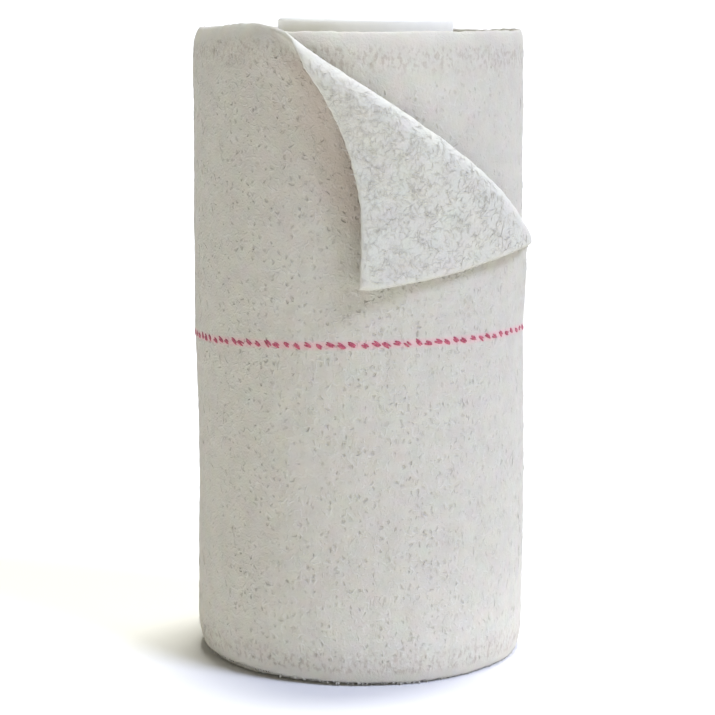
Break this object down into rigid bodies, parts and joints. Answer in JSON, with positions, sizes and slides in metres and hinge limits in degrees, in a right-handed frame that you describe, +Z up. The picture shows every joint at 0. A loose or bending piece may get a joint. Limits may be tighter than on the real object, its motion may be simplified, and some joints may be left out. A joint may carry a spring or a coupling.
{
  "type": "elastic adhesive bandage roll",
  "caption": "Crepe elastic adhesive bandage wound on a hollow plastic core, standing on end, the top corner of its loose end folded down.",
  "frame": {"origin": "centre of the roll's bounding box at its foot, on the surface it stands on", "axes": "+Z up along the core, -Y towards the viewer's side, where the folded corner of the loose end shows"},
  "size_m": [0.0546, 0.0576, 0.1018],
  "materials": {
    "core_plastic": "smooth white, slightly translucent",
    "bandage_cloth": "off-white crepe weave with a red thread along the middle",
    "bandage_end_cloth": "off-white crepe weave, its inner face coated with adhesive"
  },
  "bodies": {
    "root": {"core": "core_plastic", "wound_roll": "bandage_cloth", "loose_end": "bandage_end_cloth"}
  },
  "joints": []
}
